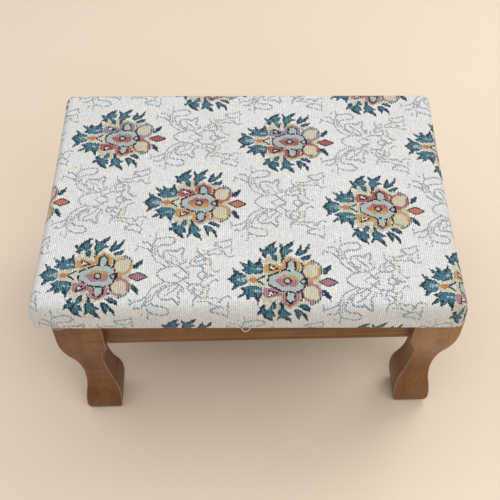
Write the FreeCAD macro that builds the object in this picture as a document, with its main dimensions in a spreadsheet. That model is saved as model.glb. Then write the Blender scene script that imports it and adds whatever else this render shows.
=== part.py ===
"""A low footstool: an upholstered pad on a frame of four ogee legs and four aprons.

Millimetres, +Z up. The origin is on the floor, under the middle of the pad, and the
front of the stool faces -Y. Each piece is an object of the document whose sizes are
tied to the sheet of driving sizes.
"""
import FreeCAD, Part
import os
import Sketcher

V = FreeCAD.Vector

DRIVING_SIZES = {
    # the wooden frame under the pad, and how far right of the pad's middle it stands
    "frame_top": 177.0,
    "frame_shift": 7.0,
    "pad_overhang": 8.0,
    # one leg: a square block above an ogee, measured in from the leg's outer corner
    "leg_block": 45.0,
    "shoulder_height": 155.0,
    "waist_height": 64.0,
    "waist_in": 14.2,
    "toe_height": 14.0,
    "toe_in": 9.1,
    "sole_in": 11.0,
    "sole_out": 42.6,
    "instep_height": 9.0,
    "instep_out": 45.4,
    "heel_height": 26.0,
    "heel_out": 46.8,
    "ankle_height": 97.0,
    "ankle_out": 36.8,
    "knee_height": 131.0,
    "shoulder_share": 0.5,
    "toe_share": 0.5,
    "heel_share": 0.36,
    # the aprons between the legs, with a bead along the lower edge
    "apron_tall": 52.5,
    "apron_thickness": 18.0,
    "apron_setback": 12.0,
    "bead_radius": 3.5,
    "quirk_rise": 1.8,
    # dowels that join each apron to its legs, the side ones lower than the front ones
    "dowel_diameter": 8.0,
    "dowel_length": 34.0,
    "dowel_drop": 10.0,
    "dowel_stagger": 10.0,
    "dowel_spacing": 20.0,
    "dowel_end_gap": 1.0,
    "glue_gap": 0.1,
    # blocks that brace the inside corners of the frame
    "block_wing": 48.0,
    "block_tall": 30.0,
    "block_drop": 2.0,
    "block_gap": 0.2,
    # screws that hold the seat board from below
    "seat_screw_in": 55.0,
    "seat_screw_sink": 8.0,
    "seat_screw_bite": 9.0,
    "seat_screw_shank": 4.0,
    "seat_screw_head": 8.0,
    "seat_screw_head_tall": 2.6,
    "screw_gap": 0.15,
    "screw_point": 3.0,
    # glides under the feet, each with its own nail
    "glide_diameter": 24.0,
    "glide_tall": 2.5,
    "nail_shank": 2.0,
    "nail_length": 13.0,
    # the upholstered pad: drawn-in foot, widest line, shoulder and crown
    "pad_length": 400.0,
    "pad_depth": 288.0,
    "pad_side": 33.5,
    "pad_crown": 4.5,
    "pad_tuck": 3.5,
    "pad_widest": 16.0,
    "shoulder_start": 25.0,
    "shoulder_lean": 1.0,
    "shoulder_in": 10.0,
    "pad_corner": 16.0,
    "corner_margin": 0.5,
    # the layers of the pad, from the cover inwards
    "cover_thickness": 1.2,
    "layer_gap": 0.2,
    "wadding_top": 4.0,
    "board_in": 8.0,
    "board_thickness": 12.0,
    "dust_cover_thickness": 0.4,
    "dust_cover_overlap": 4.0,
    "dust_cover_gap": 1.0,
}

doc = FreeCAD.newDocument("footstool")
sheet = doc.addObject("Spreadsheet::Sheet", "Sizes")


class Size:
    """A size worked out from the driving sizes, as a number and as the sheet's formula."""

    def __init__(self, number, formula):
        self.number = number
        self.formula = formula

    def joined(self, other, sign, number):
        text = other.formula if isinstance(other, Size) else repr(other)
        return Size(number, "(%s %s %s)" % (self.formula, sign, text))

    def __add__(self, other):
        return self.joined(other, "+", self.number + plain(other))

    def __sub__(self, other):
        return self.joined(other, "-", self.number - plain(other))

    def __mul__(self, other):
        return self.joined(other, "*", self.number * plain(other))

    def __truediv__(self, other):
        return self.joined(other, "/", self.number / plain(other))

    def __neg__(self):
        return Size(-self.number, "(0 - %s)" % self.formula)


def plain(value):
    """The number of a Size, or the number itself."""
    return value.number if isinstance(value, Size) else value


def fill_sheet():
    """Write each driving size into the sheet and give back the Size that stands for it."""
    sizes = {}
    for row, (name, number) in enumerate(DRIVING_SIZES.items(), start=1):
        sheet.set("A%d" % row, name)
        sheet.set("B%d" % row, str(number))
        sheet.setAlias("B%d" % row, name)
        sizes[name] = Size(number, "Sizes." + name)
    doc.recompute()
    return sizes


S = fill_sheet()
ZERO = S["frame_top"] * 0
FRAME_LENGTH = S["pad_length"] - S["pad_overhang"] * 2
FRAME_DEPTH = S["pad_depth"] - S["pad_overhang"] * 2
CORNER_X = S["frame_shift"] - FRAME_LENGTH / 2
CORNER_Y = -FRAME_DEPTH / 2
APRON_INNER = S["apron_setback"] + S["apron_thickness"]
BOARD_BOTTOM = S["frame_top"] + S["cover_thickness"]
BOARD_TOP = BOARD_BOTTOM + S["board_thickness"]
FOOT_MIDDLE = (S["sole_in"] + S["sole_out"]) / 2
LEFT_TO_RIGHT = V(1, 0, 0)
FRONT_TO_BACK = V(0, 1, 0)


# Drawing and placing


def bind(thing, path, size):
    """Tie one property of an object to the sheet."""
    thing.setExpression(path, size.formula)


def place(thing, x=None, y=None, z=None):
    """Tie the place of an object to the sheet."""
    for axis, size in (("x", x), ("y", y), ("z", z)):
        if size is not None:
            bind(thing, "Placement.Base." + axis, size)
    return thing


class Outline:
    """A closed outline of lines and arcs, with every corner tied to the sheet.

    It runs counterclockwise, and its corners lie at or above zero on both axes.
    """

    def __init__(self, x, y):
        self.corners = [(x, y)]
        self.runs = []

    def line(self, x, y):
        """Go straight to a corner."""
        self.corners.append((x, y))
        self.runs.append(None)

    def arc(self, x, y, radius, turn=1):
        """Go to a corner along a short arc that turns left (1) or right (-1)."""
        self.corners.append((x, y))
        self.runs.append((radius, turn))

    def step(self, x, y):
        """How far a corner lies from the last one."""
        return x - self.corners[-1][0], y - self.corners[-1][1]

    def arc_upright(self, x, y, turn=1):
        """An arc that is upright at one of its ends, so its radius follows from its span."""
        run, rise = self.step(x, y)
        radius = (run * run + rise * rise) / (run * 2)
        self.arc(x, y, radius if radius.number > 0 else -radius, turn)

    def arc_level(self, x, y, turn=1):
        """An arc that is level at one of its ends."""
        run, rise = self.step(x, y)
        radius = (run * run + rise * rise) / (rise * 2)
        self.arc(x, y, radius if radius.number > 0 else -radius, turn)

    def ogee(self, x, y, share, turn):
        """Two arcs, upright at both far ends, that meet smoothly at a share of the way."""
        run, rise = self.step(x, y)
        self.arc_upright(self.corners[-1][0] + run * share, self.corners[-1][1] + rise * share, turn)
        self.arc_upright(x, y, -turn)

    def draw(self, sketch):
        """Put the outline into a sketch and tie it there."""
        points = [V(x.number, y.number, 0) for x, y in self.corners]
        ends = []
        for start, end, run in zip(points, points[1:], self.runs):
            curve = Part.LineSegment(start, end) if run is None else short_arc(start, end, *run)
            edge = sketch.addGeometry(curve, False)
            ends.append((edge, 2, 1) if run is not None and run[1] < 0 else (edge, 1, 2))
            if run is not None:
                tie(sketch, Sketcher.Constraint("Radius", edge, run[0].number), run[0])
        for index, (edge, first, last) in enumerate(ends):
            before = ends[index - 1]
            sketch.addConstraint(Sketcher.Constraint("Coincident", before[0], before[2], edge, first))
            tie_corner(sketch, edge, first, *self.corners[index])


def short_arc(start, end, radius, turn):
    """The arc of under half a circle between two points."""
    chord = end - start
    half = chord.Length / 2
    across = V(-chord.y, chord.x, 0).normalize()
    reach = max(radius.number ** 2 - half ** 2, 0.0) ** 0.5
    circle = Part.Circle(start + chord * 0.5 + across * (reach * turn), V(0, 0, 1), radius.number)
    first, last = (start, end) if turn > 0 else (end, start)
    return Part.ArcOfCircle(circle, circle.parameter(first), circle.parameter(last))


def tie(sketch, constraint, size):
    """Add a constraint whose value follows the sheet."""
    index = sketch.addConstraint(constraint)
    sketch.setExpression("Constraints[%d]" % index, size.formula)


def tie_corner(sketch, edge, end, x, y):
    """Hold one corner at its two distances from the sketch's origin."""
    for size, name, axis in ((x, "DistanceX", -2), (y, "DistanceY", -1)):
        if abs(size.number) < 1e-9:
            sketch.addConstraint(Sketcher.Constraint("PointOnObject", edge, end, axis))
        else:
            tie(sketch, Sketcher.Constraint(name, -1, 1, edge, end, size.number), size)


def sketched_body(label, plane, outline):
    """A body with a sketch of an outline on one of its own planes."""
    body = doc.addObject("PartDesign::Body", label)
    body.Label = label
    sketch = body.newObject("Sketcher::SketchObject", label + "_outline")
    base = [item for item in body.Origin.OriginFeatures if item.Role == plane + "_Plane"][0]
    sketch.AttachmentSupport = (base, [""])
    sketch.MapMode = "FlatFace"
    outline.draw(sketch)
    return body, sketch


def padded(label, plane, outline, length):
    """A body that is an outline padded to the positive side of its plane."""
    body, sketch = sketched_body(label, plane, outline)
    pad = body.newObject("PartDesign::Pad", label + "_pad")
    pad.Profile = sketch
    pad.Reversed = plane == "XZ"
    bind(pad, "Length", length)
    return body


def turned(label, outline):
    """A body turned about its own upright axis from a half outline."""
    body, sketch = sketched_body(label, "XZ", outline)
    turn = body.newObject("PartDesign::Revolution", label + "_turn")
    turn.Profile = sketch
    turn.ReferenceAxis = (sketch, ["V_Axis"])
    turn.Angle = 360.0
    return body


def rod(label, radius, length):
    """A plain upright cylinder."""
    thing = doc.addObject("Part::Cylinder", label)
    bind(thing, "Radius", radius)
    bind(thing, "Height", length)
    return thing


def laid(thing, way):
    """Lay an upright thing down, so that its top points to the front or to the left."""
    axis, angle = (V(1, 0, 0), 90) if way == "front" else (V(0, 1, 0), -90)
    thing.Placement = FreeCAD.Placement(V(0, 0, 0), FreeCAD.Rotation(axis, angle))
    return thing


def rectangle(length, depth, corner):
    """A rectangle with quarter-round corners."""
    outline = Outline(corner, ZERO)
    outline.line(length - corner, ZERO)
    outline.arc(length, corner, corner)
    outline.line(length, depth - corner)
    outline.arc(length - corner, depth, corner)
    outline.line(corner, depth)
    outline.arc(ZERO, depth - corner, corner)
    outline.line(ZERO, corner)
    outline.arc(corner, ZERO, corner)
    return outline


# Joining and repeating


def cut(label, base, *tools):
    """One object less the others."""
    for number, tool in enumerate(tools, start=1):
        name = label if number == len(tools) else "%s_cut_%d" % (label, number)
        step = doc.addObject("Part::Cut", name)
        step.Base = base
        step.Tool = tool
        base = step
    base.Label = label
    return base


def joined(kind, label, members):
    """A compound, a fuse or a common of several objects."""
    thing = doc.addObject(kind, label)
    if kind == "Part::Compound":
        thing.Links = members
    else:
        thing.Shapes = members
    thing.Label = label
    return thing


def mirrored(label, source, normal):
    """The same object on the other side of the frame."""
    thing = doc.addObject("Part::Mirroring", label)
    thing.Source = source
    thing.Normal = normal
    bind(thing, "Base.x", S["frame_shift"])
    thing.Label = label
    return thing


def four_corners(label, front_left):
    """The front left piece and its three mirror images."""
    front_left.Label = label + "_front_left"
    front_right = mirrored(label + "_front_right", front_left, LEFT_TO_RIGHT)
    back_left = mirrored(label + "_back_left", front_left, FRONT_TO_BACK)
    back_right = mirrored(label + "_back_right", back_left, LEFT_TO_RIGHT)
    return [front_left, front_right, back_left, back_right]


def at_all_corners(label, members):
    """A set of pieces at the front left corner, with its three mirror images."""
    corner = joined("Part::Compound", label + "_front_left", members)
    return joined("Part::Compound", label, four_corners(label, corner))


# Dowels: two in each joint between an apron and a leg


def dowel_set(label, radius, length):
    """The four dowels, or their bores, at the front left corner."""
    rods = []
    middle = S["apron_setback"] + S["apron_thickness"] / 2
    reach = S["leg_block"] + length / 2
    for way, drop in (("left", S["dowel_drop"]), ("front", S["dowel_drop"] + S["dowel_stagger"])):
        for step in range(2):
            thing = laid(rod("%s_%s_%d" % (label, way, step + 1), radius, length), way)
            height = S["frame_top"] - drop - S["dowel_spacing"] * step
            x, y = (reach, middle) if way == "left" else (middle, reach)
            rods.append(place(thing, CORNER_X + x, CORNER_Y + y, height))
    return rods


def make_dowels():
    """All the dowels as one node, and the bores that take them at one corner and at all."""
    radius, length = S["dowel_diameter"] / 2, S["dowel_length"]
    dowels = at_all_corners("apron_dowels", dowel_set("dowel", radius, length))
    bores = dowel_set("dowel_bore", radius + S["glue_gap"], length + S["dowel_end_gap"] * 2)
    all_bores = at_all_corners("dowel_bores", bores)
    return dowels, all_bores.Links[0], all_bores


# Screws: one up through each corner block into the seat board


def make_seat_screws():
    """The screws that hold the seat from below, and their bores.

    Each stands on its sunk head, and its axis is the middle of its half outline.
    """
    x, y = CORNER_X + S["seat_screw_in"], CORNER_Y + S["seat_screw_in"]
    block_bottom = S["frame_top"] - S["block_drop"] - S["block_tall"]
    seat = block_bottom + S["seat_screw_sink"]
    length = BOARD_BOTTOM + S["seat_screw_bite"] - seat
    shank, head = S["seat_screw_shank"] / 2, S["seat_screw_head"] / 2
    shoulder = S["seat_screw_head_tall"] + length
    outline = Outline(ZERO, ZERO)
    outline.line(head, ZERO)
    outline.line(shank, S["seat_screw_head_tall"])
    outline.line(shank, shoulder - S["screw_point"])
    outline.line(ZERO, shoulder)
    outline.line(ZERO, ZERO)
    screw = place(turned("seat_screw", outline), x, y, seat - S["seat_screw_head_tall"])
    shank_bore = place(rod("seat_screw_bore", shank + S["screw_gap"], length + S["screw_gap"]), x, y, seat)
    head_bore = place(rod("seat_screw_sink_bore", head + S["screw_gap"], S["seat_screw_sink"]),
                      x, y, block_bottom)
    bores = at_all_corners("seat_screw_bores", [shank_bore, head_bore])
    return at_all_corners("seat_screws", [screw]), bores


# Glides


def make_glides():
    """A round glide with its nail under each foot, and the nail's bore in the leg."""
    radius, tall = S["glide_diameter"] / 2, S["glide_tall"]
    shank, nail_top = S["nail_shank"] / 2, S["glide_tall"] + S["nail_length"]
    outline = Outline(ZERO, ZERO)
    outline.line(radius, ZERO)
    outline.line(radius, tall)
    outline.line(shank, tall)
    outline.line(shank, nail_top - S["nail_shank"])
    outline.line(ZERO, nail_top)
    outline.line(ZERO, ZERO)
    glide = turned("foot_glide", outline)
    bore = rod("nail_bore", shank + S["screw_gap"], nail_top + S["screw_gap"])
    for thing in (glide, bore):
        place(thing, CORNER_X + FOOT_MIDDLE, CORNER_Y + FOOT_MIDDLE)
    return at_all_corners("foot_glides", [glide]), bore


# Legs: one ogee, sawn from the front and then from the side of a square blank


def leg_outline():
    """One face of the leg, seen square on, with its outer edge at zero."""
    outline = Outline(S["sole_in"], S["glide_tall"])
    outline.line(S["sole_out"], S["glide_tall"])
    outline.arc_upright(S["instep_out"], S["instep_height"])
    outline.arc_upright(S["heel_out"], S["heel_height"])
    outline.ogee(S["ankle_out"], S["ankle_height"], S["heel_share"], 1)
    outline.arc_upright(S["leg_block"], S["knee_height"], -1)
    outline.line(S["leg_block"], S["frame_top"])
    outline.line(ZERO, S["frame_top"])
    outline.line(ZERO, S["shoulder_height"])
    outline.ogee(S["waist_in"], S["waist_height"], S["shoulder_share"], 1)
    outline.ogee(S["toe_in"], S["toe_height"], S["toe_share"], -1)
    outline.arc_upright(S["sole_in"], S["glide_tall"])
    return outline


def make_legs(dowel_bores, nail_bore):
    """Four compound-cut legs, drilled for the dowels and the glide's nail."""
    blank = S["leg_block"] * 2
    front_cut = padded("leg_front_cut", "XZ", leg_outline(), blank)
    side_cut = padded("leg_side_cut", "YZ", leg_outline(), blank)
    sawn = joined("Part::MultiCommon", "leg_sawn", [front_cut, side_cut])
    place(sawn, CORNER_X, CORNER_Y)
    return four_corners("leg", cut("leg_front_left", sawn, dowel_bores, nail_bore))


# Aprons: boards with a quirk and a bead run along the lower outer edge


def apron_outline():
    """The section of an apron, with the outer faces of the legs at zero."""
    face, radius = S["apron_setback"], S["bead_radius"]
    bottom, top = S["frame_top"] - S["apron_tall"], S["frame_top"]
    quirk_x, quirk_z = face + radius / 2, bottom + radius * (1 + 0.75 ** 0.5)
    outline = Outline(face + radius, bottom)
    outline.line(APRON_INNER, bottom)
    outline.line(APRON_INNER, top)
    outline.line(face, top)
    outline.line(face, quirk_z + S["quirk_rise"])
    outline.line(quirk_x, quirk_z)
    outline.arc(face, bottom + radius, radius)
    outline.arc(face + radius, bottom, radius)
    return outline


def make_aprons(bores):
    """Front, back and side aprons, each between two legs."""
    block = S["leg_block"]
    front_board = padded("apron_front_board", "YZ", apron_outline(), FRAME_LENGTH - block * 2)
    place(front_board, CORNER_X + block, CORNER_Y)
    side_board = padded("apron_side_board", "XZ", apron_outline(), FRAME_DEPTH - block * 2)
    place(side_board, CORNER_X, CORNER_Y + block)
    front = cut("apron_front", front_board, bores)
    left = cut("apron_left", side_board, bores)
    back = mirrored("apron_back", front, FRONT_TO_BACK)
    right = mirrored("apron_right", left, LEFT_TO_RIGHT)
    return [front, back, left, right]


# Corner blocks: notched over the leg, flat against the two aprons


def make_corner_blocks(bores):
    """Four glued blocks that brace the frame and take the seat's screws."""
    leg_face = S["leg_block"] + S["block_gap"]
    wing_end = S["leg_block"] + S["block_wing"]
    outline = Outline(leg_face, APRON_INNER)
    outline.line(wing_end, APRON_INNER)
    outline.line(APRON_INNER, wing_end)
    outline.line(APRON_INNER, leg_face)
    outline.line(leg_face, leg_face)
    outline.line(leg_face, APRON_INNER)
    block = padded("corner_block_solid", "XY", outline, S["block_tall"])
    place(block, CORNER_X, CORNER_Y, S["frame_top"] - S["block_drop"] - S["block_tall"])
    return four_corners("corner_block", cut("corner_block_front_left", block, bores))


# The seat: board, foam, wadding, cover and dust cover


def pad_outline(half, base, drop, tuck):
    """The section of the pad across one way: drawn in below, bulging, with a low crown."""
    full = half * 2
    shoulder = S["frame_top"] + S["shoulder_start"] - drop
    side_top = S["frame_top"] + S["pad_side"] - drop
    lean, shoulder_in = S["shoulder_lean"], S["shoulder_in"]
    span = half - shoulder_in
    crown_radius = (span * span + S["pad_crown"] * S["pad_crown"]) / (S["pad_crown"] * 2)
    if tuck is None:
        lean = ZERO
        outline = Outline(ZERO, base)
        outline.line(full, base)
        outline.line(full, shoulder)
    else:
        widest = S["frame_top"] + S["pad_widest"]
        outline = Outline(tuck, base)
        outline.line(full - tuck, base)
        outline.arc_upright(full, widest)
        outline.arc_upright(full - lean, shoulder)
    outline.arc_level(full - shoulder_in, side_top)
    outline.arc(shoulder_in, side_top, crown_radius)
    outline.arc_level(lean, shoulder)
    if tuck is None:
        outline.line(ZERO, base)
    else:
        outline.arc_upright(ZERO, widest)
        outline.arc_upright(tuck, base)
    return outline


def pad_form(label, inset, base, drop, tuck=None):
    """A pad shape: the long section and the short one, crossed, with rounded corners."""
    half_x, half_y = S["pad_length"] / 2 - inset, S["pad_depth"] / 2 - inset
    margin = S["corner_margin"]
    reach_x, reach_y = half_x + margin, half_y + margin
    height = S["pad_side"] + S["pad_crown"] * 2
    long_way = padded(label + "_long", "XZ", pad_outline(half_x, base, drop, tuck), reach_y * 2)
    place(long_way, -half_x, -reach_y)
    short_way = padded(label + "_short", "YZ", pad_outline(half_y, base, drop, tuck), reach_x * 2)
    place(short_way, -reach_x, -half_y)
    corners = padded(label + "_corners", "XY", rectangle(reach_x * 2, reach_y * 2,
                                                         S["pad_corner"] - inset), height)
    place(corners, -reach_x, -reach_y, base)
    return joined("Part::MultiCommon", label, [long_way, short_way, corners])


def flat_sheet(label, middle, half_x, half_y, corner, bottom, thickness):
    """A flat piece with rounded corners."""
    body = padded(label, "XY", rectangle(half_x * 2, half_y * 2, corner), thickness)
    return place(body, middle - half_x, -half_y, bottom)


def make_seat(screw_bores):
    """The five pieces of the seat."""
    half_x, half_y = S["pad_length"] / 2, S["pad_depth"] / 2
    cover, gap = S["cover_thickness"], S["layer_gap"]
    top, tuck, board_in = S["frame_top"], S["pad_tuck"], S["board_in"]
    under_wadding = cover + gap + S["wadding_top"]
    corner = S["pad_corner"] - board_in
    cloth_x = FRAME_LENGTH / 2 - S["leg_block"] - S["dust_cover_gap"]
    cloth_y = FRAME_DEPTH / 2 - S["leg_block"] - S["dust_cover_gap"]

    outside = pad_form("cover_outside", ZERO, top, ZERO, tuck)
    hollow = pad_form("cover_hollow", cover, BOARD_BOTTOM, cover, tuck)
    overlap = S["dust_cover_overlap"]
    opening = flat_sheet("cover_opening", S["frame_shift"], cloth_x - overlap, cloth_y - overlap,
                         corner, top, cover * 2)
    tapestry = cut("tapestry_cover", outside, hollow, opening)

    wadding_outside = pad_form("wadding_outside", cover + gap, BOARD_BOTTOM, cover + gap, tuck)
    wadding_hollow = pad_form("wadding_hollow", board_in - gap, top, under_wadding)
    wadding = cut("wadding", wadding_outside, wadding_hollow)
    foam = pad_form("foam_pad", board_in, BOARD_TOP, under_wadding + gap)

    board = flat_sheet("seat_board_blank", ZERO, half_x - board_in, half_y - board_in, corner,
                       BOARD_BOTTOM, S["board_thickness"])
    seat_board = cut("seat_board", board, screw_bores)
    cloth_thickness = S["dust_cover_thickness"]
    cloth = flat_sheet("dust_cover_cloth", S["frame_shift"], cloth_x, cloth_y, corner,
                       top - cloth_thickness, cloth_thickness)
    return [seat_board, foam, wadding, tapestry, cut("dust_cover", cloth, screw_bores)]


def make_all():
    """Every piece of the stool, in the order in which it is put together."""
    dowels, corner_bores, dowel_bores = make_dowels()
    seat_screws, seat_screw_bores = make_seat_screws()
    glides, nail_bore = make_glides()
    nodes = make_legs(corner_bores, nail_bore)
    nodes += make_aprons(dowel_bores)
    nodes += [dowels]
    nodes += make_corner_blocks(seat_screw_bores)
    nodes += [seat_screws, glides]
    nodes += make_seat(seat_screw_bores)
    return nodes


def check(nodes):
    """Stop if any object failed or any piece came out empty or broken."""
    for thing in doc.Objects:
        if "Invalid" in thing.State or "Error" in thing.State:
            raise RuntimeError("%s did not build: %s" % (thing.Name, thing.State))
    for node in nodes:
        if node.Shape.isNull() or not node.Shape.isValid() or not node.Shape.Solids:
            raise RuntimeError(node.Label + " is not a valid solid")


def export(nodes):
    """Write each piece to its own file."""
    os.makedirs("parts", exist_ok=True)
    for node in nodes:
        node.Shape.exportStep("parts/%s.step" % node.Label)


NODES = make_all()
doc.recompute()
check(NODES)
export(NODES)
for item in NODES:
    print("%-26s %3d solids %12.1f mm3" % (item.Label, len(item.Shape.Solids), item.Shape.Volume))
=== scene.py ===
"""The looks of the upholstered footstool: tapestry pad, worn ogee legs and beaded aprons.

Lengths in this file are millimetres, with the origin on the floor under the middle of the pad, and are
turned to metres when a mesh is written. Cloth places are measured on the cloth itself, from the pad's middle.
"""
import math

import bmesh
import bpy
import numpy as np
from mathutils import Matrix, Vector


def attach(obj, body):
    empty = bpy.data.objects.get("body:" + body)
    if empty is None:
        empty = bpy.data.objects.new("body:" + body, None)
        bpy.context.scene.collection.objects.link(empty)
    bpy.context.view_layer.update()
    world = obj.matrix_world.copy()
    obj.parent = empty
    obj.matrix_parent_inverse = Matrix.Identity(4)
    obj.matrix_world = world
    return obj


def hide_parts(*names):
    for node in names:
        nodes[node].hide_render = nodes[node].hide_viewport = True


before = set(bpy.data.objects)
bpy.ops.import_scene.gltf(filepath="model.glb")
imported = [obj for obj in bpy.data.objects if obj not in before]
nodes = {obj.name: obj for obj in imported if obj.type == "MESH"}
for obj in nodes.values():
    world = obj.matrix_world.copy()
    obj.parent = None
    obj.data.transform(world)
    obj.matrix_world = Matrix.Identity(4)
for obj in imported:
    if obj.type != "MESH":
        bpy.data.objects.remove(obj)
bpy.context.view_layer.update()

MM = 0.001
# The height of the frame's top, and how far the frame's middle lies to the right of the pad's.
FRAME_TOP = 177.0
FRAME_MIDDLE = 7.0
PAD_TURN = math.radians(-1.3)

# The pad's section is measured outwards from the middle of a corner's curve.
CORNER_X, CORNER_Y = 184.0, 128.0
SECTION_FLAT = 4.0
SECTION_WIDEST = 16.0
SECTION_FOOT = 14.2
SIDE_TOP = 210.3
WIDEST_HEIGHT = 192.0
CROWN = 4.5
CORNER_SQUARENESS = 3.9
SIDE_PULL = 2.0
PAD_HALF_X, PAD_HALF_Y = 200.0, 144.0
CROWN_HALF_X, CROWN_HALF_Y = 198.0, 142.0
# The fold beside each corner: its depth, its place round the corner and its width there, both in radians,
# and the distance down the section where it starts.
FOLD_DEPTH, FOLD_TURN, FOLD_WIDTH, FOLD_START = 1.1, 0.5, 0.07, 14.0
# Half the size of the opening that the cover leaves under the seat board.
OPENING_X, OPENING_Y = 142.0, 86.0
STAPLE_STEP = 16

# The weave: the ribs' spacing, the picks' spacing, the side of a face, which is one stitch, and the pattern's
# turn on the pad, its repeat and the place of one palmette.
RIB = 1.87
PICK = 1.1
FACE = 1.1
CLOTH_TURN = math.radians(-2.2)
REPEAT_ACROSS = 174.0
REPEAT_ALONG = 178.0
MOTIF_X, MOTIF_Y = -47.6, -23.0


def to_linear(shown):
    """Colours as they look on a screen, 0 to 255, turned into the linear values that shaders use."""
    shown = np.asarray(shown, float) / 255
    return np.where(shown <= 0.04045, shown / 12.92, ((shown + 0.055) / 1.055) ** 2.4)


def paint(red, green, blue):
    """One screen colour as a shader takes it."""
    return (*[float(value) for value in to_linear([red, green, blue])], 1.0)


def turned(x, y, angle):
    """Two coordinates turned about the origin."""
    cos, sin = math.cos(angle), math.sin(angle)
    return x * cos - y * sin, x * sin + y * cos


# Meshes


def new_mesh(name, points, faces, smooth=True):
    """An object from an array of points in millimetres and an array of faces."""
    mesh = bpy.data.meshes.new(name)
    places = np.asarray(points, float).reshape(-1, 3) * MM
    mesh.from_pydata(places.tolist(), [], np.asarray(faces).tolist())
    mesh.polygons.foreach_set("use_smooth", np.full(len(mesh.polygons), smooth))
    mesh.update()
    piece = bpy.data.objects.new(name, mesh)
    bpy.context.scene.collection.objects.link(piece)
    return piece


def band_faces(*corners):
    """A list of faces from the arrays of their first, second, third and fourth corners."""
    return np.stack(corners, axis=-1).reshape(-1, 4)


def grid_faces(rows, columns, closed=False):
    """The faces of a grid of points stored row by row; closed joins the last column to the first."""
    last = columns if closed else columns - 1
    row, column = np.meshgrid(np.arange(rows - 1), np.arange(last), indexing="ij")
    after = (column + 1) % columns
    corner = row * columns
    return band_faces(corner + column, corner + after, corner + columns + after, corner + columns + column)


def smooth_wave(seed, *coordinates, reach=1.0):
    """Soft random hills between about -1 and 1: seven sine waves with seeded directions and phases."""
    dice = np.random.default_rng(seed)
    total, count = 0.0, 7
    for _ in range(count):
        phase = dice.uniform(0, 2 * np.pi)
        total = total + np.sin(phase + sum(dice.normal(0, 1) / reach * axis for axis in coordinates))
    return total / math.sqrt(count)


# The tapestry's drawing, in millimetres on the cloth


YARN = {
    "cream": (238, 237, 233),
    "straw": (222, 216, 188),
    "navy": (34, 38, 52),
    "black": (28, 28, 34),
    "teal": (48, 98, 118),
    "mid_teal": (84, 132, 148),
    "light_teal": (104, 150, 160),
    "deep_teal": (34, 62, 78),
    "aqua": (182, 194, 190),
    "sage": (206, 200, 174),
    "gold": (200, 148, 84),
    "lilac": (142, 128, 160),
    "red": (168, 74, 72),
    "rose": (196, 124, 120),
    "salmon": (196, 112, 82),
    "mauve": (170, 112, 126),
    "grey": (136, 144, 150),
    "ice": (232, 238, 238),
    "pale_gold": (218, 206, 160),
}
# The bright wefts change from row to row: top arc, upper half, lower half, bottom arc and axis
ROW_BRIGHTS = (
    ("gold", "lilac", "red", "gold", "red"),
    ("rose", "red", "gold", "lilac", "salmon"),
    ("rose", "gold", "mauve", "red", "mauve"),
)
# For each part of a palmette: its bright wefts above and below the axis, and the share of sage twisted in
BRIGHT_PARTS = {"arc": (0, 3, 0.35), "half": (1, 2, 0.35), "axis": (4, 4, 0.25)}

TRIDENT = [(-54.3, 0), (-52, 2.3), (-50.3, 4), (-48.4, 5.8), (-50.8, 12), (-46.2, 9.3), (-44.2, 6.8),
           (-41, 6.2), (-38.6, 4.4), (-36.8, 2.2), (-36.5, 0)]
TRIDENT_MIDRIB = [(-47, 0), (-43, 2.2), (-37, 2.8), (-36.3, 0)]
LEAF_REACH = 1.03
LEAVES = [
    [(-23, 8), (-29.5, 6.5), (-36, 6.3), (-42.5, 9.5), (-38.5, 12.3), (-44, 18.8), (-36.8, 15.8),
     (-36.5, 20.8), (-31.3, 17), (-28, 19.5), (-25.8, 24.4), (-24.3, 18), (-22.6, 13.5)],
    [(-26.4, 35), (-22.3, 32.7), (-19.5, 37.6), (-15.2, 40.9), (-10.9, 42.9), (-12.7, 39), (-12.9, 35.9),
     (-10, 35.9), (-11.3, 31.1), (-14.3, 29.4), (-10.1, 26.4), (-10.5, 20.6), (-13.4, 21.9), (-16.2, 27.7),
     (-19.2, 28.6), (-20.1, 24.3), (-24.8, 26.3), (-23.2, 29.5), (-25.4, 31)],
    [(-8.1, 41.8), (-6, 38.8), (-3.6, 37.5), (0.1, 40.8), (5.8, 44.4), (4.1, 39.3), (0.9, 35.2),
     (5.4, 32.8), (0.9, 30.2), (-2.4, 26.9), (-3.7, 22.6), (-6.2, 19.9), (-5.6, 26.3), (-7.7, 31.6),
     (-6.6, 34.8)],
    [(6.7, 28.3), (8.3, 33.6), (11.7, 39.4), (12.6, 34.5), (14.5, 33.5), (17.4, 37.4), (19.6, 41.2),
     (19.3, 35.6), (16.6, 31.2), (13.2, 29.1), (9.3, 26.9)],
    [(10.6, 24.6), (14.9, 27.3), (21.3, 29.4), (20.8, 26.5), (18.4, 23.6), (13.7, 22.8)],
]
HALO = [(-38, 0), (-38, 4), (-26, 9), (-24, 20), (-21, 25), (-12, 31), (-5, 30), (3, 28), (12, 24),
        (22, 23), (30, 16), (31, 5), (29, 0)]
BUD = [(-6, 13), (-5, 21), (2, 27), (11, 21), (12, 13)]
BUD_ARCH = [(-1, 13), (-1, 20), (3, 23.5), (7, 20), (7.5, 13)]
ALMOND = [(-17.5, 0), (-17.5, 1), (-17, 5), (-12, 7.5), (-6, 10.5), (-2, 12.5), (2, 11.5), (7, 12.5),
          (12, 10.5), (15.5, 6), (17, 0)]
ALMOND_CORE = [(-12, 0), (-4, 7), (1, 5.5), (6, 6.5), (9.5, 4), (10, 0)]
LEFT_WEDGE = [(-17, 17.5), (-16.5, 11.5), (-9, 13)]
LEFT_BRIGHT = [(-22, 8), (-21, 17), (-17, 19), (-6, 16), (-5, 12), (-12, 8)]
LEAFLET = [(32, 8.8), (33.4, 14.2), (39.6, 18.9), (39.2, 14.4), (36.9, 11.2), (34.8, 8.6)]
HATCHED_ARC = [(22.3, 22.6), (27.3, 19.6), (30, 15), (30.3, 9.5)]
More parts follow.
